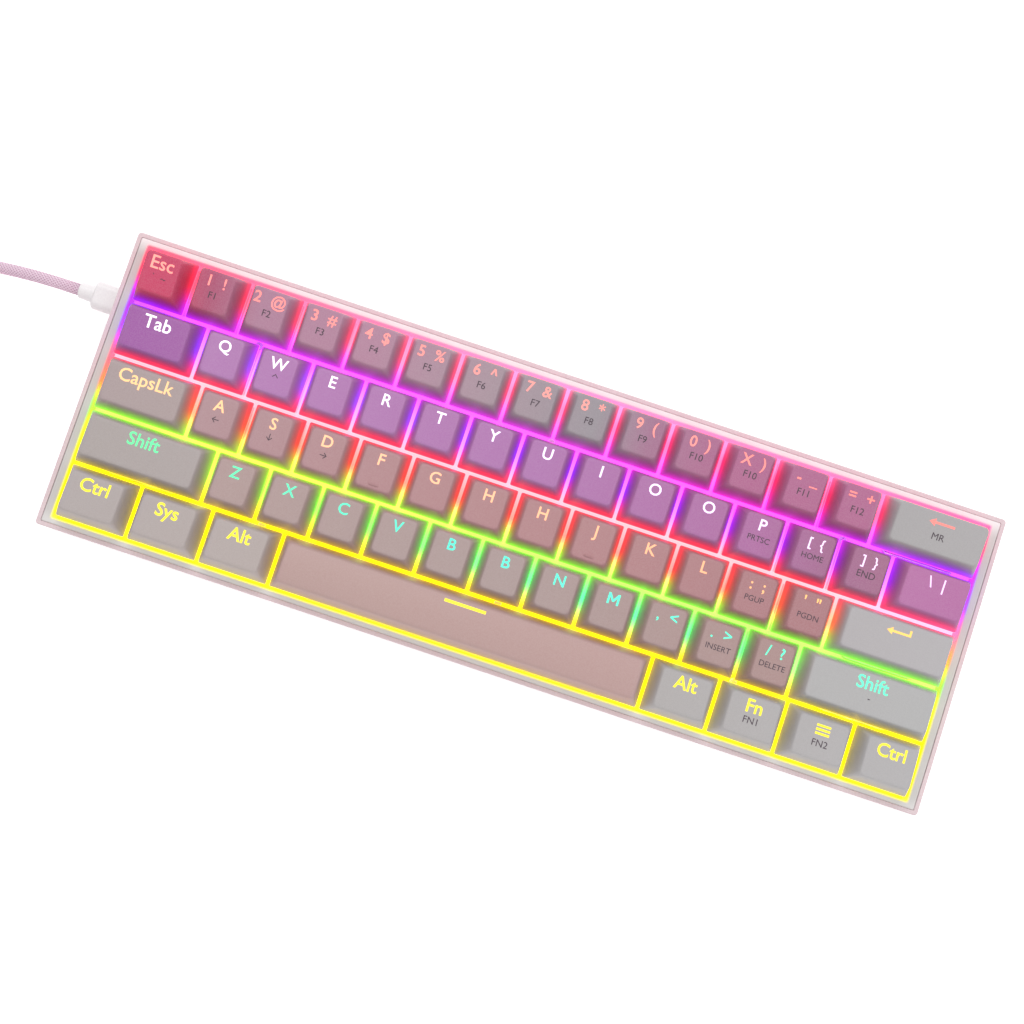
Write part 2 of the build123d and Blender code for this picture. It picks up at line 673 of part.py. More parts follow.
save("usb_c_socket", [usb_c_socket()])
save("usb_c_plug_shell", [usb_c_plug_shell()])
save("usb_c_plug_housing", [usb_c_plug_housing()])
save("cable_lead", [cord("cable_lead", lead_points)], Location())
save("cable_coil", [coil()], Location())
save("cable_tail", [cord("cable_tail", tail_points)], Location())
save("usb_a_plug_housing", [usb_a_housing()], usb_a_place)
save("usb_a_plug_shell", [usb_a_plug_shell()], usb_a_place)

print("nodes", len(os.listdir("parts")), "case", round(case_width, 2), "x", round(case_depth, 2))
print("deck shift", round(deck_shift, 3), "neck end", [round(v, 2) for v in tuple(neck_end)])
print("coil middle", [round(v, 2) for v in tuple(coil_middle)])
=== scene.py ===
# %% [markdown]
# # A compact keyboard with lit keys
# The exact shapes come from CAD: a model of sixty named nodes, each on a body that can move. This lesson
# gives that model its looks. Blender could model everything again, but a copy would drift from the real
# sizes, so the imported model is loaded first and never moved. Whatever is rebuilt here is built around it,
# in metres.

# %% Load the CAD model
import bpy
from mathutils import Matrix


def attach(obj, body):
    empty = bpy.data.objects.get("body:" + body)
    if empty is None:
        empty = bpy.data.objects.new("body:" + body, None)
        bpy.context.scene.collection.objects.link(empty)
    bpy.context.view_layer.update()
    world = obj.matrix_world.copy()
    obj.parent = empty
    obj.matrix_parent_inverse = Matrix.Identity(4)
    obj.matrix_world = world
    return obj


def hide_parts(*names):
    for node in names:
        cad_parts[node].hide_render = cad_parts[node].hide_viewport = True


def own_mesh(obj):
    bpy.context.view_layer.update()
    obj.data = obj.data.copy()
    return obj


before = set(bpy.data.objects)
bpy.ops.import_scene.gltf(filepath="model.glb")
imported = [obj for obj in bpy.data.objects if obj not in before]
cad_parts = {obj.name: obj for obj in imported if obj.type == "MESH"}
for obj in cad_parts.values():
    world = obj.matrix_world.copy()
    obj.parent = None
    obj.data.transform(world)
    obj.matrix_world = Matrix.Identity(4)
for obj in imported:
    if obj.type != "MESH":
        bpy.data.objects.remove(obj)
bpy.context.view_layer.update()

# %% Blender's own modules
import math

import bmesh
import bpy
from mathutils import Euler, Matrix, Vector

scene = bpy.context.scene
mm = 0.001

# %% [markdown]
# ## The deck
# The keys stand on a switch plate that leans towards the typist by five degrees. Every key would be awkward
# to place in the table's frame, so one matrix carries the leaning deck: its origin is the middle of the key
# field on the plate's upper face. A piece is worked out flat on the deck in millimetres, and the matrix
# sets it in place.

# %% The deck's matrix
letter_pitch, row_pitch = 17.86, 18.3
field_width, field_depth = 16 * letter_pitch, 5 * row_pitch
typing_angle = math.radians(5)
deck_middle = Vector((0, -0.672, 18.2)) * mm
deck = Matrix.Translation(deck_middle) @ Matrix.Rotation(typing_angle, 4, "X") @ Matrix.Scale(mm, 4)
press_direction = -(deck.to_3x3() @ Vector((0, 0, 1))).normalized()


def on_deck(x, y, z):
    """A point given in millimetres on the deck, in the table's frame."""
    return deck @ Vector((x, y, z))


print("deck's middle", [round(v, 4) for v in on_deck(0, 0, 0)])

# %% [markdown]
# ## The camera
# A keyboard is shown from almost straight above, turned a little on the sheet. The camera could be aimed
# with a constraint, but its roll matters here, so its three axes are given: where it looks, which way is
# up, and what follows from them. Both directions are written on the deck, like everything else.

# %% Make the camera
lens_data = bpy.data.cameras.new("camera")
lens_data.sensor_width = 36
lens_data.lens = 52.734
lens_data.clip_end = 20
camera = bpy.data.objects.new("camera", lens_data)
scene.collection.objects.link(camera)
look = (deck.to_3x3() @ Vector((0.0018, 0.0797, -0.9968))).normalized()
side = look.cross(deck.to_3x3() @ Vector((-0.3159, 0.9458, 0.075))).normalized()
axes = Matrix((side, side.cross(look), -look)).transposed().to_4x4()
camera.matrix_world = Matrix.Translation(on_deck(-5.8, -36.7, 485.3)) @ axes
scene.camera = camera
scene.view_settings.view_transform = "Standard"
print("lens", round(lens_data.lens, 2), "mm, camera at", [round(v, 3) for v in camera.location])

# %% [markdown]
# ## The cable's line
# The cable is 4 mm thick and 1.8 m long. It comes down from its plug to the table, and all that isn't
# needed is wound into a neat coil of four layers. A simulated rope would never lie this neatly, so the line
# is drawn: one smooth NURBS spline whose control points are the route, with sixteen points for each turn of
# the coil. The spline passes inside its points, so the turns' points stand out by a small factor.

# %% The control points
cord_radius = 2.0
neck_end = on_deck(-163.58, 27.45, -8.2) / mm
turn_pitch, mean_turn = 4.1, 23.6
outer_turn = mean_turn + turn_pitch
coil_middle = Vector((neck_end.x - 57.5, neck_end.y - outer_turn, 0))
points_per_turn = 16
cable_points = [Vector((neck_end.x + along, neck_end.y, height)) for along, height in
                ((0, neck_end.z), (-14, neck_end.z), (-31, 5.6), (-43, 2.3))]


def turn_column(turn):
    """Radius and height of a turn: outwards to inwards in one layer, back outwards in the next."""
    layer, place = divmod(turn, 3)
    column = 2 - place if layer % 2 == 0 else place
    return mean_turn + (column - 1) * turn_pitch, cord_radius + layer * turn_pitch


# %% [markdown]
# A wound cord steps from one column to the next over a short arc and is round everywhere else. Blending the
# radius and the height over the last quarter of every turn does the same.

# %% The coil and the tail
steps = 11 * points_per_turn + points_per_turn // 3
for step in range(1, steps):
    turn, part = divmod(step / points_per_turn, 1)
    here, after = turn_column(int(turn)), turn_column(int(turn) + 1)
    ease = min(max((part - 0.72) / 0.28, 0), 1)
    ease = ease * ease * (3 - 2 * ease)
    radius, height = (a + (b - a) * ease for a, b in zip(here, after))
    radius /= math.cos(math.pi / points_per_turn) ** 0.5
    angle = math.radians(90) + step / points_per_turn * math.tau
    cable_points.append(coil_middle + Vector((radius * math.cos(angle), radius * math.sin(angle), height)))
tail_angle = math.radians(210)
tail_start = coil_middle + Vector((math.cos(tail_angle), math.sin(tail_angle), 0)) * outer_turn
tail_direction = Vector((-math.sin(tail_angle), math.cos(tail_angle), 0))
for along, height in ((10.5, 14.3), (23, 10.2), (36, 5.6), (48, 4.0), (54, 4.0)):
    cable_points.append(tail_start + tail_direction * along + Vector((0, 0, height)))
print("control points", len(cable_points))

# %% [markdown]
# The spline's order and its end rule are set after its points, because set before them they are lost. A
# braid needs coordinates that follow the cable, and a curve's own bevel gives poor ones, so the line is
# read back from a bare curve and a tube with its own UV map is swept along it.

# %% Read the line back
cable_curve = bpy.data.curves.new("cable_line", "CURVE")
cable_curve.dimensions = "3D"
cable_curve.resolution_u = 3
spline = cable_curve.splines.new("NURBS")
spline.points.add(len(cable_points) - 1)
for point, place in zip(spline.points, cable_points):
    point.co = (*(place * mm), 1)
spline.order_u = 3
spline.use_endpoint_u = True
line_object = bpy.data.objects.new("cable_line", cable_curve)
scene.collection.objects.link(line_object)
line_mesh = bpy.data.meshes.new_from_object(line_object)
cable_line = [vertex.co.copy() for vertex in line_mesh.vertices]
bpy.data.objects.remove(line_object)


# %% A tube that follows the line
def new_piece(name, bm, *materials):
    """Turn a bmesh into an object at the origin."""
    mesh = bpy.data.meshes.new(name)
    bm.to_mesh(mesh)
    bm.free()
    for material in materials:
        mesh.materials.append(material)
    piece = bpy.data.objects.new(name, mesh)
    scene.collection.objects.link(piece)
    return piece


def tube_along(line, radius, sides):
    """A tube with a UV map: once round it in U, metres along it in V."""
    bm = bmesh.new()
    uv = bm.loops.layers.uv.new("UVMap")
    across, rings, travelled = Vector((0, 0, 1)), [], [0.0]
    for i, middle in enumerate(line):
        ahead = (line[min(i + 1, len(line) - 1)] - line[max(i - 1, 0)]).normalized()
        across = (across - ahead * across.dot(ahead)).normalized()
        other = ahead.cross(across)
        rings.append([bm.verts.new(middle + radius * (across * math.cos(a) + other * math.sin(a)))
                      for a in (math.tau * k / sides for k in range(sides))])
        if i:
            travelled.append(travelled[-1] + (middle - line[i - 1]).length)
    for i in range(len(line) - 1):
        for k in range(sides):
            n = (k + 1) % sides
            face = bm.faces.new((rings[i][k], rings[i][n], rings[i + 1][n], rings[i + 1][k]))
            face.smooth = True
            corners = ((k, i), (k + 1, i), (k + 1, i + 1), (k, i + 1))
            for loop, (u, v) in zip(face.loops, corners):
                loop[uv].uv = (u / sides, travelled[v])
    bm.faces.new(rings[0][::-1])
    bm.faces.new(rings[-1])
    return bm


cable = new_piece("cable_braid", tube_along(cable_line, cord_radius * mm, 16))
print("cable's faces", len(cable.data.polygons))

# %% [markdown]
# ## Writing finishes as sums
# A finish is a graph of nodes, and a long graph is easier to read as arithmetic. The class Value wraps one
# socket, and a sum written with it adds the Math nodes. Colours would turn grey in a Math node, so they go
# through the method mix. Every other node comes from the one method node, which sets the node's own
# settings first.


# %% The classes Value and Finish
class Value:
    """A number's socket that can be used in Python sums."""

    def __init__(self, finish, socket):
        self.finish, self.socket = finish, socket

    def sum(self, operation, *values):
        return self.finish.node("ShaderNodeMath", {"operation": operation}, dict(enumerate(values)))

    def __add__(self, other):
        return self.sum("ADD", self, other)

    def __sub__(self, other):
        return self.sum("SUBTRACT", self, other)

    def __rsub__(self, other):
        return self.sum("SUBTRACT", other, self)

    def __mul__(self, other):
        return self.sum("MULTIPLY", self, other)

    def __truediv__(self, other):
        return self.sum("DIVIDE", self, other)

    def __pow__(self, other):
        return self.sum("POWER", self, other)

    def sine(self):
        return self.sum("SINE", self)

    def absolute(self):
        return self.sum("ABSOLUTE", self)

    def smooth(self, low, high):
        """0 at low, 1 at high, with soft ends."""
        return self.finish.node("ShaderNodeMapRange", {"interpolation_type": "SMOOTHSTEP"},
                                {0: self, 1: low, 2: high})

    __radd__, __rmul__ = __add__, __mul__


class Finish:
    """A material that is built from constants on its shader and from values that vary over the surface."""

    def __init__(self, name, **constants):
        self.material = bpy.data.materials.new(name)
        self.material.use_nodes = True
        self.tree = self.material.node_tree
        self.shader = self.tree.nodes["Principled BSDF"]
        for key, value in constants.items():
            self.shader.inputs[key.replace("_", " ")].default_value = value

    def node(self, kind, settings, values, output=0):
        made = self.tree.nodes.new(kind)
        for key, value in settings.items():
            if key == "stops":
                self.set_stops(made.color_ramp, value)
            else:
                setattr(made, key, value)
        for key, value in values.items():
            self.feed(made.inputs[key], value)
        return Value(self, made.outputs[output])

    def feed(self, socket, value):
        if isinstance(value, Value):
            self.tree.links.new(value.socket, socket)
        else:
            socket.default_value = value

    def set_stops(self, ramp, stops):
        while len(ramp.elements) < len(stops):
            ramp.elements.new(1)
        for element, (place, colour) in zip(ramp.elements, stops):
            element.position, element.color = place, colour

    def mix(self, factor, first, second):
        return self.node("ShaderNodeMix", {"data_type": "RGBA"}, {0: factor, 6: first, 7: second}, 2)

    def shade(self, **values):
        for key, value in values.items():
            self.feed(self.shader.inputs[key.replace("_", " ")], value)
        return self.material


def paint(code):
    """A colour written as RRGGBB, as the linear values that a shader takes."""
    parts = [int(code[i:i + 2], 16) / 255 for i in (0, 2, 4)]
    return (*(p / 12.92 if p <= 0.04045 else ((p + 0.055) / 1.055) ** 2.4 for p in parts), 1)


print("a mid grey", [round(v, 3) for v in paint("808080")])

# %% [markdown]
# ## Where a surface point is on the deck
# Almost every finish depends on the row and the column of the key that it is near. Object coordinates are
# in the table's frame, so one Mapping node leans them back, and two sums turn them into columns and rows:
# column 0 is the left edge of the key field and 16 its right edge, row 0 the rear edge and 5 the front
# edge.

# %% Deck coordinates in a finish
black, white = (0, 0, 0, 1), (1, 1, 1, 1)


def deck_place(finish):
    """Column, row and height above the plate in millimetres, of the surface point."""
    place = finish.node("ShaderNodeTexCoord", {}, {}, "Object")
    flat = finish.node("ShaderNodeMapping", {"vector_type": "TEXTURE"},
                       {0: place, 1: deck.to_translation(), 2: Euler((typing_angle, 0, 0)), 3: (mm, mm, mm)})
    axes = [finish.node("ShaderNodeSeparateXYZ", {}, {0: flat}, i) for i in range(3)]
    return (axes[0] / letter_pitch + 8, 2.5 - axes[1] / row_pitch, axes[2])


def grain(finish, size, strength, roughness=0.6):
    """Fine texture of moulded plastic or paint, as a bump. The size is in millimetres."""
    place = finish.node("ShaderNodeTexCoord", {}, {}, "Object")
    noise = finish.node("ShaderNodeTexNoise", {}, {0: place, "Scale": 1000 / size, "Detail": 3.0,
                                                   "Roughness": roughness})
    bump = finish.node("ShaderNodeBump", {}, {"Strength": strength, "Distance": 0.0001, "Height": noise})
    return noise, bump


# %% [markdown]
# ## The light between the keys
# A small lamp under every key lights the gaps, and its colour changes over the board: red and violet at the
# rear, orange in the middle, green and yellow at the front. Lamps of real size would make the picture
# noisy, so the surfaces that they light glow by themselves. One colour field serves them all. It has a ramp
# along the columns for each line between two rows and one for each row, and it passes from one to the next
# towards the front.

# %% The colour field
glow_lines = (
    (0.0, ((0.0, (1, .05, .14, 1)), (0.5, (1, .22, .45, 1)), (1.0, (1, .10, .32, 1)))),
    (0.42, ((0.0, (.9, .03, .10, 1)), (0.3, (1, .14, .27, 1)), (0.6, (.95, .04, .24, 1)),
            (1.0, (1, .02, .16, 1)))),
    (0.93, ((0.0, (.35, .01, 1, 1)), (0.1, (.60, .02, .75, 1)), (0.4, (.65, .04, .65, 1)),
            (0.75, (.75, .03, .60, 1)), (1.0, (.45, .02, 1, 1)))),
    (1.45, ((0.0, (.30, .02, 1, 1)), (0.2, (.45, .12, 1, 1)), (0.5, (.28, .0, .80, 1)),
            (0.85, (.40, .0, .70, 1)), (1.0, (.30, .02, 1, 1)))),
    (1.93, ((0.0, (1, .03, .12, 1)), (0.3, (1, .03, .10, 1)), (0.8, (1, .04, .08, 1)),
            (1.0, (1, .08, .30, 1)))),
    (2.45, ((0.0, (1, .16, .03, 1)), (0.25, (1, .06, .03, 1)), (0.7, (1, .04, .05, 1)),
            (1.0, (1, .30, .03, 1)))),
    (2.93, ((0.0, (.30, 1, .03, 1)), (0.2, (.55, .85, .0, 1)), (0.5, (.35, .95, .02, 1)),
            (1.0, (.30, 1, .05, 1)))),
    (3.45, ((0.0, (.80, .95, .0, 1)), (0.3, (.20, 1, .05, 1)), (0.6, (.02, .85, .30, 1)),
            (0.8, (.10, .9, .22, 1)), (1.0, (.95, .90, 0, 1)))),
    (3.93, ((0.0, (.92, .78, 0, 1)), (0.5, (.95, .75, 0, 1)), (1.0, (.95, .80, 0, 1)))),
    (5.0, ((0.0, (.95, .85, .0, 1)), (1.0, (.95, .82, .0, 1)))),
)


def backlight(finish, column, row):
    """The colour of the light at a place on the deck."""
    colour, last = None, None
    for place, stops in glow_lines:
        ramp = finish.node("ShaderNodeValToRGB", {"stops": stops}, {0: column / 16})
        colour = ramp if colour is None else finish.mix(row.smooth(last, place), colour, ramp)
        last = place
    return colour


# How white the light is where it is brightest, down in the gaps, from the rear edge to the front one.
core_white = tuple((place, (amount, amount, amount, 1)) for place, amount in
                   ((0.0, 0.05), (0.1, 0.12), (0.19, 0.06), (0.3, 0.20), (0.39, 0.36), (0.5, 0.16),
                    (0.6, 0.08), (0.7, 0.08), (0.78, 0.0)))


def gap_light(finish, column, row):
    """The colour of the light between the keys, with its pale core."""
    whiteness = finish.node("ShaderNodeValToRGB", {"stops": core_white}, {0: row / 5})
    return finish.mix(whiteness, backlight(finish, column, row), white)


print("lines of light", len(glow_lines))

# %% [markdown]
# ## Keycap plastic
# The caps are matt double-shot plastic: grey as moulded, but tinted by the light that shines through them,
# so every row has its own colour and the first keys of the rear row are almost red. Five ramps along the
# columns hold those tints. The sides glow near the skirt, where the light leaks out, and the glow fades
# upwards.

# %% The caps' tints, rear row first
cap_tints = (
    ((0.0, "D8466E"), (0.055, "D64C70"), (0.09, "B9597A"), (0.15, "BB88A2"), (0.28, "BF8DA6"),
     (0.42, "B29AA5"), (0.54, "A59CA3"), (0.60, "B07C9A"), (0.70, "BC6F98"), (0.86, "BC6F98"),
     (0.885, "B3AFB0"), (1.0, "B7B3B4")),
    ((0.0, "AA62AE"), (0.09, "AE6AB0"), (0.11, "BF85BF"), (0.5, "BB7DB9"), (0.75, "B973AA"), (0.83, "AE7098"),
     (0.90, "AF7293"), (0.92, "C278AF"), (1.0, "C074AC")),
    ((0.0, "B5A3A3"), (0.10, "B7A5A4"), (0.12, "BC979C"), (0.35, "BE9093"), (0.6, "BD8B8E"), (0.85, "B68186"),
     (0.87, "BBB6B8"), (1.0, "BEBABC")),
    ((0.0, "B3A9A6"), (0.14, "B5AAA8"), (0.16, "B99F9C"), (0.5, "B5A09D"), (0.83, "B49390"), (0.85, "BAB8B8"),
     (1.0, "BBBABA")),
    ((0.0, "B8AEAC"), (0.24, "BCAFAB"), (0.26, "C2A29D"), (0.67, "C3A09C"), (0.69, "B7B2B1"),
     (1.0, "BBB8B9")),
)



def by_row(finish, column, row, rows):
    """A colour from a ramp along the columns for each row, rear row first."""
    colour = None
    for number, stops in enumerate(rows):
        painted = [(place, paint(code)) for place, code in stops]
        ramp = finish.node("ShaderNodeValToRGB", {"stops": painted}, {0: column / 16})
        if colour is None:
            colour = ramp
        else:
            colour = finish.mix(row.smooth(number - 0.01, number + 0.01), colour, ramp)
    return colour


# How far the light climbs up the sides of each row, as a grey ramp from the rear row to the front one.
side_glow = tuple((0.1 + 0.2 * row, (amount, amount, amount, 1)) for row, amount in
                  enumerate((0.85, 1.0, 0.85, 0.36, 0.1)))


lit_skirt, glow_top, glow_fall = 6.7, 14.4, 8.3


def cap_plastic():
    """Matt plastic, tinted by row and column, that glows towards its skirt."""
    finish = Finish("cap_plastic", Roughness=0.5, Specular_IOR_Level=0.35, Emission_Strength=1.0)
    column, row, height = deck_place(finish)
    noise, bump = grain(finish, 0.35, 0.25)
    tint = finish.mix(noise.smooth(0.35, 0.65) * 0.06, by_row(finish, column, row, cap_tints), white)
    light = backlight(finish, column, row)
    strong = finish.node("ShaderNodeValToRGB", {"stops": side_glow}, {0: row / 5})
    core = (lit_skirt - height).smooth(0, 0.6)
    glow = strong * ((glow_top - height) / glow_fall).smooth(0, 1) ** 2.2 * 0.5 + core * 1.5
    bright = finish.mix(core, light, gap_light(finish, column, row))
    emission = finish.node("ShaderNodeVectorMath", {"operation": "SCALE"}, {0: bright, "Scale": glow})
    colour = finish.mix(strong * (14.6 - height).smooth(0, 8) * 0.6, tint, light)
    return finish.shade(Base_Color=finish.mix(core, colour, light), Emission_Color=emission, Normal=bump)


cap_finish = cap_plastic()
print("cap finish has", len(cap_finish.node_tree.nodes), "nodes")

# %% [markdown]
# ## The other finishes
# Switch parts, plate, board and case are all plain industrial materials: clear and white nylon, painted and
# bare steel, glass fibre, rubber. Each gets the detail that it shows up close: grain, brushing, or solder
# mask. The ones under the keys also pick up the light, which falls off with the distance from the gaps
# above them.


# %% Plain plastics, paint and rubber
def plain(name, code, other, roughness, size, bump_strength, **constants):
    """An even finish with a little variation and a fine grain."""
    finish = Finish(name, **constants)
    noise, bump = grain(finish, size, bump_strength)
    colour = finish.mix(noise.smooth(0.3, 0.7), paint(code), paint(other))
    return finish.shade(Base_Color=colour, Roughness=noise * 0.12 + roughness - 0.06, Normal=bump)


def lit(name, code, strength, reach, size=0.4, **constants):
    """A finish that also glows with the light around it, up to a height above the plate."""
    finish = Finish(name, Emission_Strength=strength, **constants)
    column, row, height = deck_place(finish)
    noise, bump = grain(finish, size, 0.2)
    light = gap_light(finish, column, row)
    fall = 1 - height.smooth(reach - 1.5, reach)
    emission = finish.node("ShaderNodeVectorMath", {"operation": "SCALE"}, {0: light, "Scale": fall})
    colour = finish.mix(noise * 0.1, paint(code), white)
    colour = finish.mix(fall * 0.85, colour, light)
    return finish.shade(Base_Color=colour, Emission_Color=emission, Normal=bump)


# %% The grey top frame and the pink case
def frame_plastic():
    """Pale grey plastic that catches the light along its inner edge; its rear and front bands have painted
    light.
    """
    finish = Finish("frame_plastic", Roughness=0.42, Emission_Strength=1.0)
    column, row, height = deck_place(finish)
    noise, bump = grain(finish, 0.5, 0.15)
    beside = ((column - 8).absolute() * letter_pitch - field_width / 2 + 0.1).smooth(1.5, 0.0)
    before = ((row - 2.5).absolute() * row_pitch - field_depth / 2 + 0.1).smooth(1.5, 0.0)
    edge = beside * before
    rear = row.smooth(0.2, -0.2)
    light = backlight(finish, column, row)
    colour = finish.mix(noise * 0.2, paint("DCD8D6"), paint("C9C6C4"))
    # Painted light: the rear band is given a lighter colour.
    colour = finish.mix(rear, colour, paint("FBF0F2"))
    emission = finish.node("ShaderNodeVectorMath", {"operation": "SCALE"}, {0: light, "Scale": edge * 0.8})
    # Painted light: a faint white glow on the rear band and on the front band.
    emission = finish.mix(rear * 0.12 + row.smooth(4.9, 5.1) * 0.1, emission, white)
    return finish.shade(Base_Color=finish.mix(edge, colour, light), Emission_Color=emission, Normal=bump)


case_finish = plain("case_plastic", "EFDADE", "E8D0D5", 0.4, 0.6, 0.15, Coat_Weight=0.15)
frame_finish = frame_plastic()
print("case and frame finishes made")


# %% Braid for the cable
def braid():
    """Pink yarn: crossed strands over a lighter core, from the tube's own map."""
    finish = Finish("cable_braid", Roughness=0.85, Sheen_Weight=0.25)
    uv = finish.node("ShaderNodeTexCoord", {}, {}, "UV")
    around, along = (finish.node("ShaderNodeSeparateXYZ", {}, {0: uv}, i) for i in range(2))
    left = ((around * 12 + along * 800) * math.tau).sine()
    right = ((around * 12 - along * 800) * math.tau).sine()
    strand = left.sum("MAXIMUM", left, right).smooth(-0.6, 0.9)
    colour = finish.mix(strand, paint("D7A6C4"), paint("FBE0F0"))
    bump = finish.node("ShaderNodeBump", {}, {"Strength": 0.7, "Distance": 0.0003, "Height": strand})
    return finish.shade(Base_Color=colour, Normal=bump)


# %% Metal and circuit board
def metal(name, code, roughness):
    """Steel with fine scratches along X."""
    finish = Finish(name, Metallic=1.0)
    place = finish.node("ShaderNodeTexCoord", {}, {}, "Object")
    streaks = finish.node("ShaderNodeMapping", {}, {0: place, 3: (300, 9000, 9000)})
    noise = finish.node("ShaderNodeTexNoise", {}, {0: streaks, "Scale": 1.0, "Detail": 4.0})
    bump = finish.node("ShaderNodeBump", {}, {"Strength": 0.15, "Distance": 0.00005, "Height": noise})
    return finish.shade(Base_Color=finish.mix(noise, paint(code), paint("F2F2F2")),
                        Roughness=noise * 0.25 + roughness, Normal=bump)


def solder_mask():
    """Dark lacquer over a faint pattern of copper tracks."""
    finish = Finish("circuit_board", Roughness=0.35, Coat_Weight=0.4)
    place = finish.node("ShaderNodeTexCoord", {}, {}, "Object")
    tracks = finish.node("ShaderNodeTexBrick", {"offset": 0.37, "squash": 0.7},
                         {0: place, "Scale": 260.0, "Mortar Size": 0.03, "Row Height": 0.31,
                          "Brick Width": 1.7}, 1)
    bump = finish.node("ShaderNodeBump", {}, {"Strength": 0.3, "Distance": 0.00005, "Height": tracks})
    return finish.shade(Base_Color=finish.mix(tracks, paint("16241C"), paint("2F4A35")), Normal=bump)


# %% [markdown]
# Each CAD node keeps its exact mesh and only takes a finish. The table below says which, node by node.

# %% Give the CAD nodes their finishes
steel = metal("spring_steel", "B8B8BC", 0.22)
brass = metal("contact_metal", "D9B36A", 0.25)
plug_metal = metal("connector_metal", "C9CCD2", 0.2)
switch_white = plain("switch_white", "F0EFEC", "E2E0DC", 0.45, 0.5, 0.15)
plug_white = plain("plug_plastic", "FBF8F9", "F5F1F3", 0.42, 0.5, 0.15, Coat_Weight=0.1)
node_finishes = {
    "bottom_case": case_finish, "top_frame": frame_finish,
    "switch_plate": lit("plate_paint", "F4F2F0", 1.25, 9), "circuit_board": solder_mask(),
    "board_chips": plain("chip_case", "1B1C1E", "26272A", 0.5, 0.2, 0.2),
    "switch_lower_housings": lit("lower_housing", "EDEBE8", 0.5, 9),
    "switch_upper_housings": lit("upper_housing", "F4F4F6", 0.5, 9, Transmission_Weight=0.25, Roughness=0.3),
    "switch_contact_blades": brass, "backlight_lamps": lit("lamp_resin", "FFFFFF", 4.0, 9),
    "stabiliser_housings": lit("stabiliser_housing", "EFEDEA", 0.7, 9), "stabiliser_wires": steel,
    "plate_screws": metal("screw_steel", "9A9CA0", 0.3), "usb_c_socket": plug_metal,
    "rubber_feet": plain("foot_rubber", "3A3739", "2E2C2E", 0.85, 0.3, 0.35),
    "usb_c_plug_shell": plug_metal, "usb_c_plug_housing": plug_white, "usb_a_plug_housing": plug_white,
    "usb_a_plug_shell": plug_metal,
}
for name, material in node_finishes.items():
    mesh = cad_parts[name].data
    mesh.materials.clear()
    mesh.materials.append(material)
print("finished nodes", len(node_finishes))

# %% [markdown]
# ## The keys and their legends
# Every row is listed from left to right: the node that a key belongs to, its width in letter pitches, its
# lit legend and the small printed one. Two or three neighbours share a node and move together. A layout
# could be read from a file, but a short table shows it better.

# %% The layout
layout = (
    (("escape_key", 1, "Esc", "` ~"), ("number_keys_1_2", 1, "1 !", "F1"),
     ("number_keys_1_2", 1, "2 @", "F2"), ("number_keys_3_4", 1, "3 #", "F3"),
     ("number_keys_3_4", 1, "4 $", "F4"), ("number_keys_5_6", 1, "5 %", "F5"),
     ("number_keys_5_6", 1, "6 ^", "F6"), ("number_keys_7_8", 1, "7 &", "F7"),
     ("number_keys_7_8", 1, "8 *", "F8"), ("number_keys_9_0", 1, "9 (", "F9"),
     ("number_keys_9_0", 1, "0 )", "F10"), ("symbol_keys_x_minus_equals", 1, "X )", "F10"),
     ("symbol_keys_x_minus_equals", 1, "- _", "F11"), ("symbol_keys_x_minus_equals", 1, "= +", "F12"),
     ("backspace_key", 2, "←", "MR")),
    (("tab_key", 1.5, "Tab", ""), ("letter_keys_q_w", 1, "Q", ""), ("letter_keys_q_w", 1, "W", "↑"),
     ("letter_keys_e_r", 1, "E", ""), ("letter_keys_e_r", 1, "R", ""), ("letter_keys_t_y", 1, "T", ""),
     ("letter_keys_t_y", 1, "Y", ""), ("letter_keys_u_i", 1, "U", ""), ("letter_keys_u_i", 1, "I", ""),
     ("letter_keys_o_o", 1, "O", ""), ("letter_keys_o_o", 1, "O", ""),
     ("letter_keys_p_brackets", 1, "P", "PRTSC"), ("letter_keys_p_brackets", 1, "[ {", "HOME"),
     ("letter_keys_p_brackets", 1, "] }", "END"), ("backslash_key", 1.5, "\\ |", "")),
    (("caps_lock_key", 1.75, "CapsLk", ""), ("letter_keys_a_s", 1, "A", "←"),
     ("letter_keys_a_s", 1, "S", "↓"), ("letter_keys_d_f", 1, "D", "→"), ("letter_keys_d_f", 1, "F", ""),
     ("letter_keys_g_h", 1, "G", ""), ("letter_keys_g_h", 1, "H", ""), ("letter_keys_h_j_k", 1, "H", ""),
     ("letter_keys_h_j_k", 1, "J", ""), ("letter_keys_h_j_k", 1, "K", ""),
     ("letter_keys_l_semicolon_quote", 1, "L", ""), ("letter_keys_l_semicolon_quote", 1, ": ;", "PGUP"),
     ("letter_keys_l_semicolon_quote", 1, "' \"", "PGDN"), ("enter_key", 2.25, "↵", "")),
    (("left_shift_key", 2.4, "Shift", ""), ("letter_keys_z_x", 1, "Z", ""),
     ("letter_keys_z_x", 1, "X", ""), ("letter_keys_c_v", 1, "C", ""), ("letter_keys_c_v", 1, "V", ""),
     ("letter_keys_b_b", 1, "B", ""), ("letter_keys_b_b", 1, "B", ""), ("letter_keys_n_m", 1, "N", ""),
     ("letter_keys_n_m", 1, "M", ""), ("punctuation_keys_comma_dot_slash", 1, ", <", ""),
     ("punctuation_keys_comma_dot_slash", 1, ". >", "INSERT"),
     ("punctuation_keys_comma_dot_slash", 1, "/ ?", "DELETE"), ("right_shift_key", 2.6, "Shift", "-")),
    (("left_ctrl_key", 4 / 3, "Ctrl", ""), ("system_key", 4 / 3, "Sys", ""),
     ("left_alt_key", 4 / 3, "Alt", ""), ("space_bar", 104 / 15, "▬", ""),
     ("right_alt_key", 19 / 15, "Alt", ""), ("fn_key", 19 / 15, "Fn", "FN1"),
     ("menu_key", 19 / 15, "☰", "FN2"), ("right_ctrl_key", 19 / 15, "Ctrl", "")),
)
keys = []
